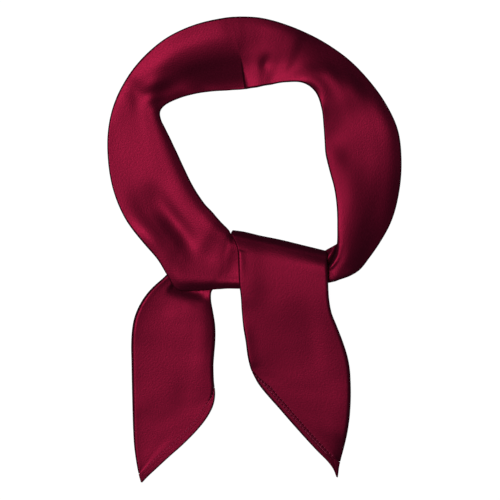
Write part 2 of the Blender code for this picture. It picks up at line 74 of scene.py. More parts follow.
# The rolled hem along each tail's slanted free edge: a lower layer's roll shows outside the top
# layer's own, which is sewn to the panel.
HEM_WIDTH = 5.0
HEM_START = 0.1  # share of that width at which the hem comes out of the fold
LOWER_ROLL = 0.64  # share of the width that the lower layer's roll takes up
ROLL_OVERLAP = 0.15
ROLL_RADIUS = 1.4  # of the free edge
FRONT_SEAM = 0.2  # the radius of the edges that meet along a seam
BACK_SEAM = 0.05  # it hardly shows on the back tail
LOWER_PROFILE = (0.78, 0.85, 0.90, 0.92, 0.93, 0.93, 0.92)
TOP_PROFILE = (0.96, 0.99, 1.02, 1.03, 1.02, 0.99, 0.96)
LEVEL_PROFILE = (0.99, 1.0, 1.0, 1.0, 1.0, 1.0, 0.99)

# The stitches.
STITCH_SPACING = 2.4
STITCH_FORWARD = 1.1  # how far a stitch runs along the hem
STITCH_REACH = 0.55  # how far it reaches to each side of the seam
STITCH_THICKNESS = 0.32
STITCH_LIFTS = (-0.35, 0.072, 0.12, 0.072, -0.35)  # a stitch's height over the cloth, along it
STITCH_ROOM = 3.0  # the least width of the panel beside the stitches
# the running stitches are light thread that paints the hem's highlight
HIGHLIGHT_STITCH_FORWARD = 1.9

# How finely the shells are drawn.
LOOP_STEPS = 9  # rows of faces for each row of a table
TAIL_STEPS = 12
BAND_COLUMNS = (46, 16, 8)  # over the top, down each edge and beneath
ROLL_COLUMNS = (14, 6, 3)
FOLD_SAMPLES = 24

# The edges of the folded band.
EDGE_ROUNDNESS = 0.6  # of an edge's height
EDGE_RADIUS = 0.9
FREE_RADIUS = 2.2  # of the folded edges of the tails
WRAP_RADIUS = 2.4
TIP_LEVEL = 0.52  # the widest point of an edge, as a share of its height
LIPS = 3  # folded layers that show below the widest point
LIP_DEPTH = 0.55
TUCK_UNDER = 3.2  # how far the layers step back by the time they reach the table
FOLD_MARGIN = 1.5
THINNEST = 0.9
SAME_PLACE = 1e-7  # metres

# A section's heights are given at these shares of its width, from edge a to edge b.
SHARES = (0.0, 0.12, 0.30, 0.50, 0.70, 0.88, 1.0)
HEIGHTS = "h0 h12 h30 h50 h70 h88 h100"

Section = namedtuple("Section", "ax ay bx by floor_a floor_b lean hem " + HEIGHTS)
Round = namedtuple("Round", "bearing inner outer floor_in floor_out " + HEIGHTS)
Turn = namedtuple("Turn", "lean forward floor share wider")
Strip = namedtuple("Strip", "ax ay bx by floor " + HEIGHTS + " hem")
Pillow = namedtuple("Pillow", "ax ay bx by crown peak edge_a edge_b")
Fold = namedtuple("Fold", "x0 y0 xm ym x1 y1 rise left right power fade_in fade_out")

LOOP_CENTRE = (0.5, 64.7)

# The neck loop, clockwise from under the knot's left side to under its right side: bearing and
# radii about LOOP_CENTRE, the underside's height at the inner and outer edge, and the top's
# heights above the table from the inner edge to the outer one.
LOOP = [
    Round(268.0, 62.0, 90.0, 3.4, 2.8, 4.4, 5.2, 4.8, 4.9, 5.2, 5.5, 3.8),
    Round(260.0, 60.0, 91.5, 3.4, 2.7, 4.5, 5.3, 5.0, 4.7, 4.8, 5.3, 3.7),
    Round(256.0, 59.0, 93.2, 3.3, 2.6, 4.5, 5.5, 5.3, 5.0, 5.0, 5.4, 3.6),
    Round(253.5, 56.2, 94.6, 3.2, 2.6, 4.5, 5.6, 5.4, 5.2, 5.3, 5.5, 3.6),
    Round(251.0, 54.2, 96.2, 2.8, 2.6, 4.7, 5.9, 5.6, 5.3, 5.5, 5.8, 3.7),
    Round(246.0, 52.2, 100.0, 2.1, 2.9, 5.0, 6.3, 5.8, 5.3, 5.9, 6.2, 4.0),
    Round(240.5, 50.3, 103.8, 1.4, 3.7, 5.4, 6.7, 6.2, 5.5, 6.4, 6.7, 5.0),
    Round(235.0, 48.8, 99.5, 0.8, 4.8, 5.4, 6.7, 6.5, 5.4, 6.7, 7.2, 6.6),
    Round(228.0, 48.0, 95.2, 0.2, 3.2, 5.2, 6.5, 6.4, 5.0, 7.1, 8.0, 7.5),
    Round(219.0, 47.0, 94.5, 0.0, 0.8, 5.1, 6.4, 6.4, 4.7, 7.0, 8.6, 7.9),
    Round(208.0, 46.6, 95.5, 0.0, 0.0, 5.0, 6.4, 6.4, 4.9, 5.7, 7.1, 7.4),
    Round(196.0, 47.3, 95.8, 0.0, 0.0, 4.8, 6.2, 6.4, 6.2, 6.1, 6.4, 6.6),
    Round(184.0, 50.0, 95.8, 0.0, 0.0, 4.7, 6.1, 6.4, 6.3, 6.2, 6.2, 6.3),
    Round(174.0, 54.5, 96.3, 0.0, 0.0, 4.7, 6.0, 6.3, 6.2, 6.2, 6.2, 6.3),
    Round(167.0, 59.5, 96.5, 0.0, 0.0, 4.8, 5.9, 6.2, 6.1, 6.2, 6.3, 6.2),
    Round(162.0, 64.2, 96.4, 0.0, 0.0, 4.9, 5.9, 6.1, 6.1, 6.3, 6.3, 6.1),
    Round(158.0, 66.4, 96.2, 0.0, 0.0, 4.6, 5.7, 6.1, 6.0, 6.3, 6.3, 5.9),
    Round(153.5, 65.2, 95.8, 0.0, 0.0, 3.4, 4.4, 6.1, 6.2, 6.4, 6.3, 5.9),
    Round(147.0, 60.5, 95.2, 0.0, 0.0, 3.1, 4.0, 5.2, 7.6, 7.8, 7.5, 7.0),
    Round(138.0, 54.0, 94.1, 0.0, 0.0, 3.4, 4.2, 5.4, 7.6, 8.9, 8.5, 7.8),
    Round(128.0, 48.0, 92.7, 0.0, 0.0, 1.5, 2.4, 4.9, 8.3, 10.0, 10.1, 10.1),
    Round(117.0, 43.2, 90.5, 0.0, 0.0, 1.0, 2.2, 5.1, 8.7, 10.5, 10.6, 10.7),
    Round(107.0, 40.8, 88.6, 0.0, 0.0, 1.1, 2.3, 5.2, 8.6, 10.4, 10.4, 10.0),
    Round(101.4, 40.1, 87.9, 0.0, 0.0, 1.2, 2.4, 5.2, 8.5, 10.0, 9.85, 9.3),
    Round(99.4, 40.0, 87.6, 0.0, 0.0, 1.6, 2.7, 5.4, 8.5, 9.82, 9.62, 9.04),
    Round(98.6, 39.9, 87.45, 0.0, 0.0, 5.2, 5.6, 6.5, 8.5, 9.73, 9.53, 8.93),
    Round(97.4, 39.9, 87.3, 0.0, 0.0, 6.2, 6.3, 6.9, 8.45, 9.6, 9.4, 8.77),
    Round(94.0, 40.1, 86.8, 0.0, 0.0, 6.9, 6.8, 7.2, 8.4, 9.2, 9.0, 8.3),
    Round(88.0, 40.6, 86.0, 0.0, 0.0, 7.3, 7.2, 7.6, 8.4, 8.7, 8.5, 7.6),
    Round(82.0, 42.0, 84.9, 0.0, 0.0, 7.2, 7.1, 7.3, 8.3, 8.4, 8.2, 7.1),
    Round(76.0, 43.6, 83.9, 0.0, 0.0, 7.1, 7.0, 7.3, 8.0, 8.0, 7.7, 6.6),
    Round(70.0, 46.2, 83.3, 0.0, 0.0, 7.6, 7.5, 7.6, 7.6, 7.4, 6.7, 5.4),
    Round(64.0, 48.9, 83.1, 0.0, 0.0, 8.2, 8.1, 7.6, 6.9, 6.0, 4.8, 3.3),
    Round(54.0, 53.5, 83.5, 0.0, 0.0, 9.2, 9.4, 8.6, 6.8, 4.8, 3.0, 1.8),
    Round(44.0, 54.2, 84.7, 0.0, 0.0, 8.1, 9.2, 8.9, 8.2, 5.7, 3.5, 2.0),
    Round(32.0, 50.8, 86.7, 0.0, 0.0, 8.8, 8.5, 8.3, 8.4, 7.4, 4.6, 2.9),
    Round(20.0, 47.2, 90.0, 0.0, 0.0, 7.9, 7.7, 7.4, 7.4, 7.2, 6.3, 4.6),
    Round(8.0, 45.5, 93.7, 0.0, 0.0, 7.4, 7.2, 7.2, 7.2, 7.2, 6.9, 5.5),
    Round(-4.0, 45.9, 95.4, 0.0, 0.0, 8.1, 8.1, 7.3, 6.8, 6.5, 5.8, 4.4),
    Round(-16.0, 50.3, 97.5, 0.0, 0.0, 8.0, 8.2, 8.0, 7.1, 6.0, 4.6, 2.6),
    Round(-27.0, 57.9, 99.9, 0.0, 0.0, 7.9, 8.2, 8.2, 7.2, 5.5, 3.9, 2.3),
    Round(-36.0, 65.6, 101.0, 0.0, 0.0, 7.9, 8.3, 8.2, 7.3, 5.4, 3.4, 2.1),
    Round(-43.0, 72.9, 102.1, 1.6, 0.0, 7.9, 8.3, 8.2, 7.4, 5.8, 3.6, 2.2),
    Round(-48.5, 80.2, 103.4, 3.2, 0.0, 7.2, 8.0, 7.9, 7.4, 6.1, 4.4, 3.0),
    Round(-52.5, 85.5, 102.7, 3.8, 0.0, 6.4, 7.5, 7.4, 7.2, 6.5, 5.7, 4.6),
    Round(-57.0, 89.0, 100.6, 3.8, 0.0, 6.2, 7.2, 6.9, 6.9, 6.8, 6.3, 5.6),
    Round(-58.5, 89.0, 100.1, 3.6, 0.0, 5.4, 6.1, 6.4, 6.5, 6.5, 6.2, 5.4),
    Round(-60.5, 88.2, 99.0, 2.0, 0.0, 4.8, 5.2, 5.4, 5.6, 5.8, 5.6, 5.0),
    Round(-63.0, 87.0, 97.8, 0.0, 0.0, 4.6, 4.9, 5.0, 5.0, 5.0, 5.0, 4.8),
]

# The creases of the loop: start, middle and end of each line, its rise (below 0 for a trough),
# its reach to the left and right of the line, how sharp it is (1 a crease, 2 soft), and the
# share of the line over which each end fades.
LOOP_FOLDS = [
    # the crease that ends the pocket
    Fold(-7.4, 103.0, -8.8, 111.0, -11.0, 121.0, -0.2, 7.0, 1.6, 1.8, 0.05, 0.70),
    # the dimple to the right of the crease
    Fold(4.0, 115.0, 7.5, 122.0, 12.0, 130.0, -0.5, 3.5, 3.5, 1.8, 0.40, 0.60),
    # the soft fall into the left trough
    Fold(-50.0, 14.0, -42.0, 8.0, -33.0, 3.0, -0.35, 9.0, 7.0, 2.0, 0.70, 0.50),
    # the faint hollow high on the left
    Fold(-76.0, 112.0, -77.0, 100.0, -76.0, 82.0, -0.3, 4.0, 4.0, 2.0, 0.50, 0.60),
]

# The wrap and the front tail, from the knot's upper edge to the tip: a is the left edge and b the
# right one. Heights are above the underside's. The wrap turns over the knot's upper edge from
# below. TURN gives each row's lean, how far it is set forward, its inside's height above the
# table, its thickness as a share of TURN_HEIGHTS, and how far its ends reach over what lies
# beside the knot.
TURN_LEFT = ((-14.1, 8.1), (-11.4, 4.0))
TURN_RIGHT = ((45.2, -4.8), (46.6, -8.4))
TURN_HEIGHTS = (4.4, 5.0, 4.8, 5.0, 4.7, 4.4, 4.2)
TURN = [
    Turn(170, -2.0, 2.4, 0.44, 0.0),
    Turn(145, -1.0, 2.5, 0.52, 0.0),
    Turn(118, -0.3, 3.2, 0.84, 1.0),
    Turn(90, 0.0, 4.2, 1.0, 1.5),
    Turn(62, 0.5, 5.9, 0.68, 1.8),
    Turn(34, 2.1, 7.1, 0.50, 1.0),
]
FRONT_TAIL = [
    Strip(-10.9, -0.8, 47.6, -12.0, 7.9, 3.7, 3.7, 3.3, 3.2, 3.2, 3.3, 3.3, 0),
    Strip(-10.5, -10.0, 47.9, -19.8, 8.2, 4.0, 4.0, 3.5, 3.3, 3.2, 3.1, 3.0, 0),
    Strip(-10.0, -20.4, 48.1, -26.3, 8.2, 4.0, 4.1, 3.5, 3.3, 3.2, 3.1, 3.0, 0),
    Strip(-8.8, -30.8, 48.6, -32.8, 7.7, 3.9, 3.9, 3.5, 3.5, 3.4, 3.4, 3.3, 0),
    Strip(-8.2, -39.9, 50.2, -41.2, 6.8, 3.8, 3.8, 3.8, 3.8, 3.7, 3.7, 3.6, 0),
    Strip(-7.2, -50.3, 54.1, -51.0, 5.7, 4.2, 4.1, 4.1, 4.1, 4.0, 3.9, 3.7, 0),
    Strip(-5.6, -60.1, 57.8, -60.7, 4.6, 4.7, 4.6, 4.5, 4.5, 4.3, 4.2, 3.9, 0),
    Strip(-4.4, -69.2, 60.6, -69.8, 3.6, 5.0, 5.0, 4.8, 4.8, 4.6, 4.5, 4.3, 0),
    Strip(-2.5, -77.0, 62.0, -77.6, 2.7, 5.1, 5.1, 5.1, 5.1, 5.0, 4.9, 4.6, 0),
    Strip(0.1, -82.8, 62.5, -84.8, 2.0, 5.2, 5.2, 5.4, 5.4, 5.3, 5.2, 5.0, 0.4),
    Strip(3.1, -88.0, 62.7, -92.6, 1.4, 5.4, 5.5, 5.6, 5.6, 5.6, 5.6, 5.4, 1),
    Strip(8.3, -94.5, 62.5, -101.0, 0.9, 5.5, 5.6, 5.7, 5.8, 5.8, 5.8, 5.6, 1),
    Strip(16.1, -103.3, 61.8, -110.1, 0.4, 5.5, 5.5, 5.6, 5.7, 5.8, 5.7, 5.5, 1),
    Strip(24.5, -113.0, 60.3, -119.9, 0, 5.2, 5.2, 5.3, 5.3, 5.4, 5.2, 4.9, 1),
    Strip(33.0, -122.5, 58.3, -128.6, 0, 4.5, 4.4, 4.3, 4.1, 3.8, 3.2, 2.6, 1),
    Strip(40.8, -130.9, 56.4, -135.8, 0, 3.7, 3.6, 3.4, 3.0, 2.4, 1.8, 1.3, 1),
    Strip(47.3, -137.4, 55.2, -141.0, 0, 3.0, 2.9, 2.6, 2.2, 1.7, 1.2, 1.0, 1),
    Strip(51.2, -142.6, 54.7, -144.9, 0, 2.5, 2.3, 2.0, 1.7, 1.4, 1.1, 1.0, 1),
    Strip(53.3, -147.8, 54.3, -148.1, 0, 2.0, 1.9, 1.7, 1.5, 1.3, 1.1, 1.0, 1),
]
FRONT_TAIL_FOLDS = [
    # the rolled edge down the left of the wrap
    Fold(-9.2, 2.0, -8.4, -10.0, -6.8, -26.0, 0.35, 2.5, 9.0, 1.8, 0.10, 0.60),
    # the trough down the right of the wrap
    Fold(31.0, -28.0, 36.0, -62.0, 39.0, -88.0, -0.45, 7.0, 24.0, 2.0, 0.40, 0.50),
    # the curl of the left edge above the hem
    Fold(-7.6, -42.0, -5.6, -62.0, -1.6, -79.0, 0.5, 5.0, 3.2, 2.0, 0.40, 0.20),
]

# The back tail, from the knot's core to its tip. It passes under the left stretch of the loop.
BACK_TAIL = [
    Strip(-2.8, 2.3, -2.8, -17.2, 0.0, 2.1, 2.5, 2.7, 2.7, 2.7, 2.5, 2.1, 0),
    Strip(-11.9, 1.7, -11.2, -19.1, 0.0, 2.1, 2.5, 2.7, 2.7, 2.7, 2.5, 2.1, 0),
    Strip(-22.3, -0.3, -18.4, -21.7, 0.0, 2.1, 2.5, 2.7, 2.7, 2.7, 2.5, 2.1, 0),
    Strip(-34.0, -2.9, -23.9, -24.3, 0.0, 2.2, 2.6, 2.8, 2.8, 2.8, 2.6, 2.2, 0),
    Strip(-45.0, -6.8, -27.3, -26.6, 0.0, 2.5, 2.7, 2.8, 2.9, 2.9, 2.7, 2.3, 0),
    Strip(-52.8, -12.3, -28.1, -29.5, 0.0, 3.5, 3.2, 2.9, 2.8, 2.7, 2.5, 2.2, 0),
    Strip(-59.3, -18.5, -28.0, -33.4, 0.0, 4.9, 4.0, 3.4, 3.0, 2.9, 2.7, 2.2, 0),
    Strip(-65.2, -23.7, -27.3, -37.6, 0.0, 5.8, 5.0, 4.6, 4.3, 4.0, 3.6, 2.7, 0),
    Strip(-70.4, -29.5, -26.4, -42.5, 0.0, 6.6, 5.9, 5.3, 5.0, 4.8, 4.2, 3.1, 0),
    Strip(-74.9, -36.7, -25.5, -48.4, 0.0, 6.7, 6.0, 5.4, 5.3, 5.0, 4.4, 3.3, 0),
    Strip(-78.0, -44.5, -25.2, -54.2, 0.0, 6.8, 6.1, 5.5, 5.2, 5.0, 4.6, 3.5, 0),
    Strip(-79.5, -52.9, -25.4, -60.7, 0.0, 6.8, 6.2, 5.6, 5.2, 4.9, 4.6, 3.6, 0),
    Strip(-80.0, -62.7, -26.0, -67.9, 0.0, 6.1, 5.8, 5.4, 5.1, 4.8, 4.6, 3.9, 0),
    Strip(-79.8, -73.1, -26.5, -75.7, 0.0, 5.6, 5.4, 5.2, 5.0, 4.8, 4.7, 4.2, 0),
    Strip(-79.6, -84.8, -26.2, -85.4, 0.0, 5.1, 4.9, 4.8, 4.7, 4.6, 4.4, 4.1, 0),
    Strip(-79.4, -93.9, -25.4, -93.9, 0.0, 4.7, 4.6, 4.5, 4.4, 4.2, 4.0, 3.8, 0.3),
    Strip(-79.2, -102.3, -26.8, -101.7, 0.0, 4.4, 4.3, 4.1, 4.0, 3.8, 3.7, 3.7, 1),
    Strip(-79.0, -110.1, -31.1, -109.8, 0.0, 4.0, 3.8, 3.7, 3.6, 3.6, 3.6, 3.6, 1),
    Strip(-78.7, -117.9, -37.6, -117.9, 0.0, 3.7, 3.5, 3.4, 3.4, 3.4, 3.4, 3.4, 1),
    Strip(-78.2, -126.4, -46.0, -126.4, 0.0, 3.4, 3.2, 3.1, 3.1, 3.1, 3.2, 3.2, 1),
    Strip(-77.2, -134.8, -55.4, -134.8, 0.0, 3.2, 3.0, 2.9, 2.9, 2.9, 3.0, 3.0, 1),
    Strip(-76.0, -142.0, -63.2, -142.0, 0.0, 2.9, 2.8, 2.7, 2.6, 2.6, 2.7, 2.7, 1),
    Strip(-74.8, -147.5, -69.1, -147.5, 0.0, 2.5, 2.4, 2.4, 2.3, 2.3, 2.3, 2.3, 1),
    Strip(-73.7, -151.3, -72.7, -151.3, 0.0, 2.2, 2.1, 2.1, 2.1, 2.0, 2.0, 2.0, 1),
]
BACK_TAIL_FOLDS = [
    # the dip where the tail comes out from under the loop
    Fold(-54.0, -22.5, -45.0, -26.0, -28.0, -27.0, -1.5, 4.5, 4.5, 2.0, 0.15, 0.20),
    # the soft trough down the middle
    Fold(-44.0, -75.0, -46.0, -92.0, -50.0, -106.0, -0.25, 7.0, 7.0, 2.0, 0.50, 0.50),
]

# The hidden layers inside the knot, and the corner that shows beside it.
KNOT_CORE = [
    Pillow(-0.8, -0.6, -0.8, -24.0, 7.3, 0.50, 6.0, 6.0),
    Pillow(9.0, -1.6, 9.0, -24.3, 7.3, 0.50, 6.0, 6.0),
    Pillow(20.0, -4.0, 21.0, -24.3, 7.3, 0.50, 6.0, 6.0),
    Pillow(31.0, -6.6, 35.0, -23.6, 7.3, 0.50, 6.0, 6.0),
    Pillow(38.0, -8.6, 42.5, -22.8, 7.3, 0.50, 6.0, 6.0),
]
INNER_TUCK = [
    Pillow(46.2, -0.4, 54.2, 3.9, 3.2, 0.78, 2.2, 2.0),
    Pillow(45.7, -2.0, 54.0, 1.8, 3.8, 0.70, 2.3, 2.0),
    Pillow(45.6, -4.0, 53.4, -1.2, 4.6, 0.52, 2.4, 2.4),
    Pillow(45.8, -6.4, 52.0, -5.0, 4.8, 0.34, 2.4, 2.4),
    Pillow(46.4, -9.2, 50.2, -9.2, 3.8, 0.28, 2.4, 2.3),
    Pillow(47.0, -11.4, 49.4, -11.4, 2.8, 0.50, 2.2, 2.2),
]


# ---------------------------------------------------------------- the forms of the cloth


def smooth(share):
    """Rises from 0 to 1 with level ends, as share goes from 0 to 1."""
    share = np.clip(share, 0.0, 1.0)
    return share * share * (3 - 2 * share)


def filled_in(rows, steps):
    """An array with the rows and steps - 1 more between each two, on Catmull-Rom curves."""
    table = np.array(rows, float)
    last = len(table) - 1
    places = np.linspace(0, last, last * steps + 1)
    start = np.minimum(places.astype(int), last - 1)
    share = (places - start)[:, None]
    before, after = np.maximum(start - 1, 0), np.minimum(start + 2, last)
    slope_in = (table[start + 1] - table[before]) / 2
    slope_out = (table[after] - table[start]) / 2
    rise = table[start + 1] - table[start]
    cubic = slope_in + slope_out - 2 * rise
    square = 3 * rise - 2 * slope_in - slope_out
    return ((cubic * share + square) * share + slope_in) * share + table[start]


def at_bearing(rows):
    """The loop's rows, each as a Section: a is the inner edge and b the outer edge."""
    rows = Round(*rows.T)
    angle = np.radians(rows.bearing)
    x, y = LOOP_CENTRE
    none = np.zeros_like(angle)
    edges = (
        x + rows.inner * np.cos(angle),
        y + rows.inner * np.sin(angle),
        x + rows.outer * np.cos(angle),
        y + rows.outer * np.sin(angle),
    )
    floors = [rows.floor_in + share * (rows.floor_out - rows.floor_in) for share in SHARES]
    heights = [height - floor for height, floor in zip(rows[-len(SHARES) :], floors)]
    return np.array([*edges, rows.floor_in, rows.floor_out, none, none, *heights]).T


def laid(rows):
    """Rows of Strip, each as a Section."""
    return [Section(*row[:5], row.floor, 0, row.hem, *row[5:-1]) for row in rows]


def plumped(rows):
    """Rows of Pillow, each as a Section with a rounded top from edge to edge."""
    sections = []
    for row in rows:
        heights = []
        for share in SHARES:
            if share < row.peak:
                edge, run = row.edge_a, share / row.peak
            else:
                edge, run = row.edge_b, (1 - share) / (1 - row.peak)
            heights.append(edge + (row.crown - edge) * math.sin(math.pi / 2 * run))
        sections.append(Section(*row[:4], 0, 0, 0, 0, *heights))
    return sections


def turn_sections():
    """The wrap's rows round the knot's upper edge, from under the knot to its first row on top."""
    sections = []
    for row in TURN:
        left, right = (
            np.array(edge) + row.forward * (np.array(top) - edge) / math.dist(edge, top)
            for edge, top in (TURN_LEFT, TURN_RIGHT)
        )
        outward = row.wider * (right - left) / math.dist(left, right)
        left, right = left - outward, right + outward
        heights = [row.share * height for height in TURN_HEIGHTS]
        sections.append(Section(*left, *right, row.floor, row.floor, row.lean, 0, *heights))
    return sections


def fold_line(fold):
    """Points along a fold, on a curve through its start, middle and end."""
    start, middle, end = np.array(fold[:6]).reshape(3, 2)
    pull = 2 * middle - (start + end) / 2
    share = np.linspace(0, 1, FOLD_SAMPLES + 1)[:, None]
    return start * (1 - share) ** 2 + pull * 2 * share * (1 - share) + end * share**2


def fold_height(x, y, fold):
    """How far a fold lifts or lowers the cloth at each place seen from above."""
    line = fold_line(fold)
    nearest = np.full(x.shape, np.inf)
    side, along = np.zeros(x.shape), np.zeros(x.shape)
    for index, (start, run) in enumerate(zip(line, np.diff(line, axis=0))):
        share = ((x - start[0]) * run[0] + (y - start[1]) * run[1]) / (run @ run)
        share = np.clip(share, 0, 1)
        off_x, off_y = x - start[0] - share * run[0], y - start[1] - share * run[1]
        distance = np.hypot(off_x, off_y)
        closer = distance < nearest
        nearest = np.where(closer, distance, nearest)
        side = np.where(closer, run[0] * off_y - run[1] * off_x, side)
        along = np.where(closer, (index + share) / FOLD_SAMPLES, along)
    reach = np.where(side > 0, fold.left, fold.right)
    ends = smooth(along / fold.fade_in) * smooth((1 - along) / fold.fade_out)
    return fold.rise * ends * np.exp(-((nearest / reach) ** fold.power))


def top_height(s, share, width, radii):
    """The sections' height over their undersides, before folds, at shares of their widths."""
    heights = np.concatenate(s[-len(SHARES) :], axis=1)
    slopes = np.diff(heights, axis=1) / np.diff(SHARES)
    between = (slopes[:, 1:] + slopes[:, :-1]) / 2
    tangents = np.concatenate([slopes[:, :1], between, slopes[:, -1:]], axis=1)
    start = np.clip(np.searchsorted(SHARES, share[0], side="right") - 1, 0, len(SHARES) - 2)
    span = np.diff(SHARES)[start]
    t = (share[0] - np.array(SHARES)[start]) / span
    low, high = heights[:, start], heights[:, start + 1]
    leaving = tangents[:, start] * span * t * (1 - t) ** 2
    arriving = tangents[:, start + 1] * span * t**2 * (1 - t)
    body = low + (high - low) * smooth(t) + (leaving - arriving)
    rounding = 1.0
    edges = ((s.h0, share * width, radii[0]), (s.h100, (1 - share) * width, radii[1]))
    for edge, distance, radius in edges:
        short = 1 - np.minimum(distance / np.minimum(edge * EDGE_ROUNDNESS, radius), 1.0)
        rounding = rounding * np.sqrt(1 - short * short)
    return body * (TIP_LEVEL + (1 - TIP_LEVEL) * rounding)


def edge_profile(width, columns):
    """The stepped edge below its widest point: insets in millimetres and levels, top to bottom."""
    down = np.linspace(0, 1, columns + 1)[1:]
    level = TIP_LEVEL * (1 - down)
    scale = np.minimum(1.0, width / (4 * TUCK_UNDER))
    grooves = LIP_DEPTH * np.abs(np.sin(np.pi * LIPS * down))
    return (TUCK_UNDER * down**2 + grooves) * scale, level


def tube_grid(
    rows, folds=(), radii=(EDGE_RADIUS, EDGE_RADIUS), seam=None, columns=BAND_COLUMNS
):
    """The points of a shell, (rows, columns, 3): over the top from a to b, then back beneath.
    seam is the edge that is sewn to a hem, 0 for a and 1 for b, and its radius there."""
    s = Section(*(column[:, None] for column in rows.T))
    over, down, under = columns
    if seam is not None:
        side, radius = seam
        radii = list(radii)
        radii[side] = radii[side] + (radius - radii[side]) * smooth(s.hem)
    across_x, across_y = s.bx - s.ax, s.by - s.ay
    width = np.hypot(across_x, across_y)
    share = (1 - np.cos(np.pi * np.linspace(0, 1, over + 1)[None, :])) / 2
    lean = np.radians(s.lean)
    square_x, square_y = -across_y / width, across_x / width

    def place(share, height):
        x = s.ax + across_x * share + square_x * np.sin(lean) * height
        y = s.ay + across_y * share + square_y * np.sin(lean) * height
        z = s.floor_a + (s.floor_b - s.floor_a) * share + np.cos(lean) * height
        return x, y, z

    height = top_height(s, share, width, radii)
    x, y, _ = place(share, 0 * height)
    lift = sum(fold_height(x, y, fold) for fold in folds)
    margin = smooth(np.minimum(share, 1 - share) * width / FOLD_MARGIN)
    folded = np.maximum(height + lift * margin, THINNEST)
    height = np.where(s.lean > 1, height, folded)  # the folds lie on top, past the turn
    top = place(share, height)
    inset, level = edge_profile(width, down)
    down_b = place(1 - inset / width, level * s.h100)
    inner = np.linspace(0, 1, under + 1)[None, 1:-1]
    start, end = 1 - inset[:, -1:] / width, inset[:, -1:] / width
    beneath = place(start + (end - start) * inner, 0 * inner * width)
    up_a = place(inset[:, ::-1] / width, level[::-1] * s.h0)
    top_a = tuple(axis[:, :1] for axis in top)
    grid = [np.concatenate(parts, axis=1) for parts in zip(top, down_b, beneath, up_a, top_a)]
    return np.stack(grid, axis=-1)


def panel_and_rolls(rows, seam, lower, upper):
    """Splits a tail's rows into its panel and its hem's lower and upper rolls, which have the
    profiles lower and upper. Gives the lines of its slip stitches and running stitches as well.
    seam is the side of the hem, 0 for a and 1 for b."""
    s = Section(*rows.T)
    ends = rows[:, :2], rows[:, 2:4]
    edge, across = ends[seam], ends[1 - seam] - ends[seam]
    base, far = (s.h0, s.h100)[seam], (s.h0, s.h100)[1 - seam]
    floor = (s.floor_a, s.floor_b)[seam]
    width = np.linalg.norm(across, axis=1)
    run = np.gradient(edge, axis=0)
    turn = np.abs(run[:, 0] * across[:, 1] - run[:, 1] * across[:, 0])
    # The share of the width that is 1 mm square to the edge.
    one_mm = np.linalg.norm(run, axis=1) / turn
    sewn = s.hem > HEM_START
    share = np.where(sewn, s.hem, 0.0) * HEM_WIDTH * one_mm
    # At the tip the hem is all there is.
    share = np.where((1 - share) * width > THINNEST, share, 1.0)

    def strip(start, end, profile=None):
        """The rows between two shares of the width, from the hem's edge inward."""
        moved = rows.copy()
        places = [edge + across * start[:, None], edge + across * end[:, None]]
        moved[:, :2], moved[:, 2:4] = places[seam], places[1 - seam]
        if profile is not None:
            part = start[:, None] + (end - start)[:, None] * np.array(SHARES)
            heights = (base[:, None] + (far - base)[:, None] * part) * np.array(profile)
            moved[:, -len(SHARES) :] = heights[:, ::-1] if seam else heights
        return moved

    def line(inward, of_hem=1.0):
        """Points over the cloth's top at a distance inward from a share of the hem."""
        places = edge + across * (share * of_hem + inward * one_mm)[:, None]
        roomy = sewn & ((1 - share) * width > STITCH_ROOM)
        return np.column_stack([places, floor + base])[roomy]

    none, overlap = 0 * share, ROLL_OVERLAP * one_mm
    panel = strip(np.where(sewn, share - overlap, 0.0), none + 1)[share < 1]
    lower_roll = strip(none, share * LOWER_ROLL, lower)[sewn]
    upper_roll = strip(share * LOWER_ROLL - overlap, share, upper)[sewn]
    slip_lines = line(STITCH_REACH), line(-STITCH_REACH)
    # the line of the running stitches, whose light thread paints the hem's highlight
    highlight_stitch_lines = (line(ROLL_OVERLAP, LOWER_ROLL),) * 2
    return panel, lower_roll, upper_roll, slip_lines, highlight_stitch_lines


# ---------------------------------------------------------------- making meshes


def select_only(piece):
    bpy.ops.object.select_all(action="DESELECT")
    piece.select_set(True)
    bpy.context.view_layer.objects.active = piece


def apply_modifier(piece, kind, **settings):
    modifier = piece.modifiers.new(kind.lower(), kind)
    for name, value in settings.items():
        setattr(modifier, name, value)
    select_only(piece)
    bpy.ops.object.modifier_apply(modifier=modifier.name)


def cloth_uv(grid):
    """Distances along and across the cloth in metres, for every point of a grid."""
    across = np.linalg.norm(np.diff(grid, axis=1), axis=2)
    along = np.linalg.norm(np.diff(grid, axis=0), axis=2)
    u = np.concatenate([np.zeros((len(grid), 1)), np.cumsum(across, axis=1)], axis=1)
    v = np.concatenate([[0.0], np.cumsum(along.mean(axis=1))])[:, None] + 0 * u
    return np.stack([u, v], axis=-1)


def shell(name, grid, material):
    """A thin sheet of satin from a grid of points, closed round where its sides meet."""
    grid = grid * MM
    rows, columns = grid.shape[:2]
    bpy.ops.object.select_all(action="DESELECT")
    bpy.ops.mesh.primitive_grid_add(x_subdivisions=columns - 1, y_subdivisions=rows - 1)
    piece = bpy.context.active_object
    piece.name = piece.data.name = name
    mesh = piece.data
    mesh.vertices.foreach_set("co", grid.reshape(-1))
    corners = np.empty(len(mesh.loops), int)
    mesh.loops.foreach_get("vertex_index", corners)
    layer = mesh.uv_layers.active or mesh.uv_layers.new()
    layer.name = "cloth"
    uv = cloth_uv(grid).reshape(-1, 2)[corners]
    layer.uv.foreach_set("vector", uv.astype(np.float32).reshape(-1))
    mesh.update()
    select_only(piece)
    bpy.ops.object.mode_set(mode="EDIT")
    bpy.ops.mesh.select_all(action="SELECT")
    bpy.ops.mesh.remove_doubles(threshold=SAME_PLACE)
    bpy.ops.mesh.normals_make_consistent(inside=False)
    bpy.ops.object.mode_set(mode="OBJECT")
    thickness = SATIN_THICKNESS * MM
    apply_modifier(piece, "SOLIDIFY", thickness=thickness, offset=-1.0, use_rim=True)
    mesh.shade_smooth()
    mesh.materials.clear()
    mesh.materials.append(material)
    return piece


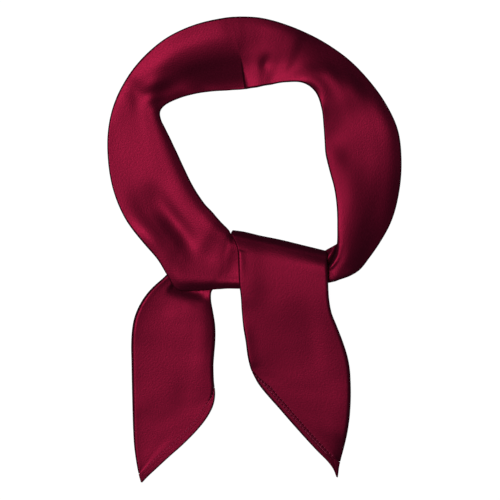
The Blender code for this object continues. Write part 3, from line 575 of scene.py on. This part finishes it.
def along_line(line, distances):
    """The points at distances along a line."""
    steps = np.linalg.norm(np.diff(line, axis=0), axis=1)
    travelled = np.concatenate([[0.0], np.cumsum(steps)])
    return np.column_stack([np.interp(distances, travelled, axis) for axis in line.T])


def stitches(name, seam_lines, material, forward):
    """Short stitches from line to line, each a thread that rises out of the cloth and dips back."""
    inner, outer = seam_lines
    length = np.linalg.norm(np.diff(inner, axis=0), axis=1).sum()
    starts = np.arange(STITCH_SPACING, length - STITCH_SPACING, STITCH_SPACING)
    first, last = along_line(inner, starts), along_line(outer, starts + forward)
    thread = bpy.data.curves.new(name, "CURVE")
    thread.dimensions = "3D"
    thread.bevel_depth = STITCH_THICKNESS / 2 * MM
    thread.bevel_resolution = 1
    thread.use_fill_caps = True
    for start, end in zip(first, last):
        spline = thread.splines.new("POLY")
        spline.points.add(len(STITCH_LIFTS) - 1)
        for index, (point, lift) in enumerate(zip(spline.points, STITCH_LIFTS)):
            x, y, z = start + (end - start) * index / (len(STITCH_LIFTS) - 1)
            point.co = (x * MM, y * MM, (z + lift) * MM, 1.0)
    thread.materials.append(material)
    piece = bpy.data.objects.new(name, thread)
    bpy.context.scene.collection.objects.link(piece)
    return piece


# ---------------------------------------------------------------- materials


def wave_scale(spacing):
    """The scale at which a wave texture's bands are spacing metres apart."""
    return 2 * math.pi / 20 / spacing


def linear(hex_colour):
    """An sRGB hex colour as linear RGBA."""
    channels = [int(hex_colour[i : i + 2], 16) / 255 for i in (1, 3, 5)]
    return (*(c / 12.92 if c <= 0.04045 else ((c + 0.055) / 1.055) ** 2.4 for c in channels), 1.0)


def node(tree, kind, settings=(), **inputs):
    """Adds a node with its settings, and its inputs as values or links."""
    new = tree.nodes.new(kind)
    for name, value in dict(settings).items():
        setattr(new, name, value)
    for name, value in inputs.items():
        socket = new.inputs[int(name[1:])] if name[0] == "_" else new.inputs[name.replace("_", " ")]
        if isinstance(value, bpy.types.NodeSocket):
            tree.links.new(value, socket)
        else:
            socket.default_value = value
    return new


def new_material(name):
    material = bpy.data.materials.new(name)
    material.use_nodes = True
    return material, material.node_tree, material.node_tree.nodes["Principled BSDF"]


def silk_satin():
    """Silk charmeuse: long floats of filament silk, which give a broad soft sheen in the dye's
    own colour."""
    material, tree, shader = new_material("burgundy_silk_satin")
    cloth = node(tree, "ShaderNodeUVMap", {"uv_map": "cloth"})
    turned = node(
        tree,
        "ShaderNodeMapping",
        Vector=cloth.outputs["UV"],
        Rotation=(0, 0, BIAS),
    )
    floats = node(
        tree,
        "ShaderNodeTexWave",
        {"bands_direction": "X"},
        Vector=turned.outputs[0],
        Scale=wave_scale(FLOAT_SPACING),
        Distortion=3.0,
        Detail=3.0,
        Detail_Scale=2.0,
    )
    grain = node(
        tree,
        "ShaderNodeTexNoise",
        Vector=turned.outputs[0],
        Scale=1 / GRAIN_SIZE,
        Detail=3.0,
        Roughness=0.6,
    )
    mottle = node(
        tree,
        "ShaderNodeTexNoise",
        Vector=cloth.outputs["UV"],
        Scale=1 / MOTTLE_SIZE,
        Detail=2.0,
    )
    weave = node(
        tree,
        "ShaderNodeMix",
        {"data_type": "FLOAT"},
        Factor=GRAIN_SHARE,
        _2=floats.outputs["Fac"],
        _3=grain.outputs["Fac"],
    )
    tone = node(
        tree,
        "ShaderNodeMix",
        {"data_type": "FLOAT"},
        Factor=MOTTLE_SHARE,
        _2=weave.outputs[0],
        _3=mottle.outputs["Fac"],
    )
    colour = node(
        tree,
        "ShaderNodeMix",
        {"data_type": "RGBA"},
        Factor=tone.outputs[0],
        _6=linear(SATIN_SHADE),
        _7=linear(SATIN_FACE),
    )
    bump = node(
        tree,
        "ShaderNodeBump",
        Strength=0.4,
        Distance=WEAVE_DEPTH,
        Height=weave.outputs[0],
    )
    gloss = node(
        tree,
        "ShaderNodeMapRange",
        Value=weave.outputs[0],
        From_Min=0.2,
        From_Max=0.8,
        To_Min=SATIN_ROUGHNESS - ROUGHNESS_SPREAD,
        To_Max=SATIN_ROUGHNESS + ROUGHNESS_SPREAD,
    )
    tree.links.new(colour.outputs[2], shader.inputs["Base Color"])
    tree.links.new(bump.outputs["Normal"], shader.inputs["Normal"])
    tree.links.new(gloss.outputs[0], shader.inputs["Roughness"])
    shader.inputs["IOR"].default_value = SATIN_IOR
    shader.inputs["Specular IOR Level"].default_value = 1.0
    shader.inputs["Specular Tint"].default_value = linear(SATIN_SHEEN)
    return material


def painted_highlight_thread():
    """Filament silk thread, with its twist as fine slanted ridges. Its colour is painted far
    lighter than the cloth's dye, as a painted highlight.
    """
    material, tree, shader = new_material("burgundy_silk_thread_painted_highlight")
    place = node(tree, "ShaderNodeTexCoord")
    twist = node(
        tree,
        "ShaderNodeTexWave",
        {"bands_direction": "DIAGONAL"},
        Vector=place.outputs["Object"],
        Scale=wave_scale(TWIST_SPACING),
        Distortion=0.5,
    )
    # painted highlight: the thread's light colours, banded along its twist
    tone = node(
        tree,
        "ShaderNodeMix",
        {"data_type": "RGBA"},
        Factor=twist.outputs["Fac"],
        _6=linear(THREAD_HIGHLIGHT_DARKER),
        _7=linear(THREAD_HIGHLIGHT_LIGHTER),
    )
    ridges = node(
        tree,
        "ShaderNodeBump",
        Strength=0.5,
        Distance=TWIST_DEPTH,
        Height=twist.outputs["Fac"],
    )
    tree.links.new(tone.outputs[2], shader.inputs["Base Color"])
    tree.links.new(ridges.outputs["Normal"], shader.inputs["Normal"])
    shader.inputs["Roughness"].default_value = THREAD_ROUGHNESS
    shader.inputs["Specular Tint"].default_value = linear(THREAD_SHEEN)
    return material


def lightbox_top():
    """A white acrylic table lit from within, so that shadows on it stay faint."""
    material, tree, shader = new_material("white_acrylic_lightbox")
    glow = node(tree, "ShaderNodeEmission", Color=linear("#ffffff"), Strength=TABLE_GLOW)
    shader.inputs["Base Color"].default_value = linear(TABLE_COLOUR)
    shader.inputs["Roughness"].default_value = TABLE_ROUGHNESS
    mixed = node(
        tree,
        "ShaderNodeMixShader",
        _0=TABLE_REFLECTION,
        _1=glow.outputs[0],
        _2=shader.outputs[0],
    )
    tree.links.new(mixed.outputs[0], tree.nodes["Material Output"].inputs["Surface"])
    return material


# ---------------------------------------------------------------- the stage


def stage():
    """A plain pale table, a large soft light high on the upper left, and a camera above."""
    bpy.ops.mesh.primitive_plane_add(size=TABLE_SIZE, location=(0, 0, 0))
    table = bpy.context.active_object
    table.name = "table"
    table.data.materials.append(lightbox_top())
    table.visible_diffuse = False
    table.visible_glossy = False

    scene = bpy.context.scene
    camera_data = bpy.data.cameras.new("camera")
    camera_data.lens = LENS
    camera_data.sensor_width = SENSOR
    camera = bpy.data.objects.new("camera", camera_data)
    scene.collection.objects.link(camera)
    camera.location = (*VIEW_CENTRE, VIEW_WIDTH * LENS / SENSOR)
    scene.camera = camera

    world = bpy.data.worlds.new("studio")
    scene.world = world
    world.use_nodes = True
    room = world.node_tree.nodes["Background"]
    room.inputs["Color"].default_value = linear(ROOM_COLOUR)
    room.inputs["Strength"].default_value = ROOM_STRENGTH

    level = math.cos(LIGHT_ELEVATION)
    towards = Vector(
        (
            math.cos(LIGHT_BEARING) * level,
            math.sin(LIGHT_BEARING) * level,
            math.sin(LIGHT_ELEVATION),
        )
    )
    light_data = bpy.data.lights.new("softbox", "AREA")
    light_data.shape = "RECTANGLE"
    light_data.size, light_data.size_y = LIGHT_SIZE
    light_data.energy = LIGHT_WATTS
    softbox = bpy.data.objects.new("softbox", light_data)
    scene.collection.objects.link(softbox)
    softbox.location = towards * LIGHT_DISTANCE
    softbox.rotation_euler = towards.to_track_quat("Z", "Y").to_euler()

    scene.view_settings.view_transform = "Standard"
    scene.view_settings.look = "None"


# ---------------------------------------------------------------- putting it together


def roll(name, rows, radii, material):
    """One roll of a hem, as a shell of the same satin."""
    return shell(name, tube_grid(rows, radii=radii, columns=ROLL_COLUMNS), material)


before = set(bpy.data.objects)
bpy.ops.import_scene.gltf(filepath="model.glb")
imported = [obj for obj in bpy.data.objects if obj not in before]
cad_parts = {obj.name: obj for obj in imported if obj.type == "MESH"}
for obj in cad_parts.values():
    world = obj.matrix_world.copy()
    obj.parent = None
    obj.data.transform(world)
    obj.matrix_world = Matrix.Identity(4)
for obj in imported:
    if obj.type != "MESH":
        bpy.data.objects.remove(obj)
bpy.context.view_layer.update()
stage()

satin = silk_satin()
thread = painted_highlight_thread()

loop_rows = at_bearing(filled_in(LOOP, LOOP_STEPS))
front_rows = filled_in(turn_sections() + laid(FRONT_TAIL), TAIL_STEPS)
front_panel, front_lower, front_upper, front_slips, front_highlight_runs = panel_and_rolls(
    front_rows, 0, LOWER_PROFILE, TOP_PROFILE
)
back_rows = filled_in(laid(BACK_TAIL), TAIL_STEPS)
back_panel, back_lower, back_upper, back_slips, _ = panel_and_rolls(
    back_rows, 1, LEVEL_PROFILE, LEVEL_PROFILE
)
core_rows = filled_in(plumped(KNOT_CORE), TAIL_STEPS)
tuck_rows = filled_in(plumped(INNER_TUCK), TAIL_STEPS)

front_rolls = [
    roll("front_hem_lower_roll", front_lower, (ROLL_RADIUS, FRONT_SEAM), satin),
    roll("front_hem_upper_roll", front_upper, (FRONT_SEAM, FRONT_SEAM), satin),
]
front_stitches = [
    stitches("front_hem_slip_stitches", front_slips, thread, STITCH_FORWARD),
    # light running stitches along the hem's bright line: a painted highlight
    stitches("front_hem_running_stitches_painted_highlight", front_highlight_runs, thread, HIGHLIGHT_STITCH_FORWARD),
]
back_rolls = [
    roll("back_hem_lower_roll", back_lower, (BACK_SEAM, EDGE_RADIUS), satin),
    roll("back_hem_upper_roll", back_upper, (BACK_SEAM, BACK_SEAM), satin),
]
back_stitches = [
    stitches("back_hem_slip_stitches", back_slips, thread, STITCH_FORWARD),
]

grids = {
    "loop_band": tube_grid(loop_rows, LOOP_FOLDS),
    "front_tail": tube_grid(
        front_panel, FRONT_TAIL_FOLDS, (EDGE_RADIUS, WRAP_RADIUS), (0, FRONT_SEAM)
    ),
    "back_tail": tube_grid(
        back_panel, BACK_TAIL_FOLDS, (FREE_RADIUS, FREE_RADIUS), (1, BACK_SEAM)
    ),
    "knot_core": tube_grid(core_rows),
    "inner_tuck": tube_grid(tuck_rows),
}
hems = {
    "front_tail": (front_rolls, front_stitches),
    "back_tail": (back_rolls, back_stitches),
}
for node_name, grid in grids.items():
    piece = shell(node_name.removesuffix("_band") + "_cloth", grid, satin)
    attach(piece, "root")
    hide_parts(node_name)
    rolls, threads = hems.get(node_name, ([], []))
    for part in rolls + threads:
        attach(part, "root")
    for part in rolls:
        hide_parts(node_name + "_hem")
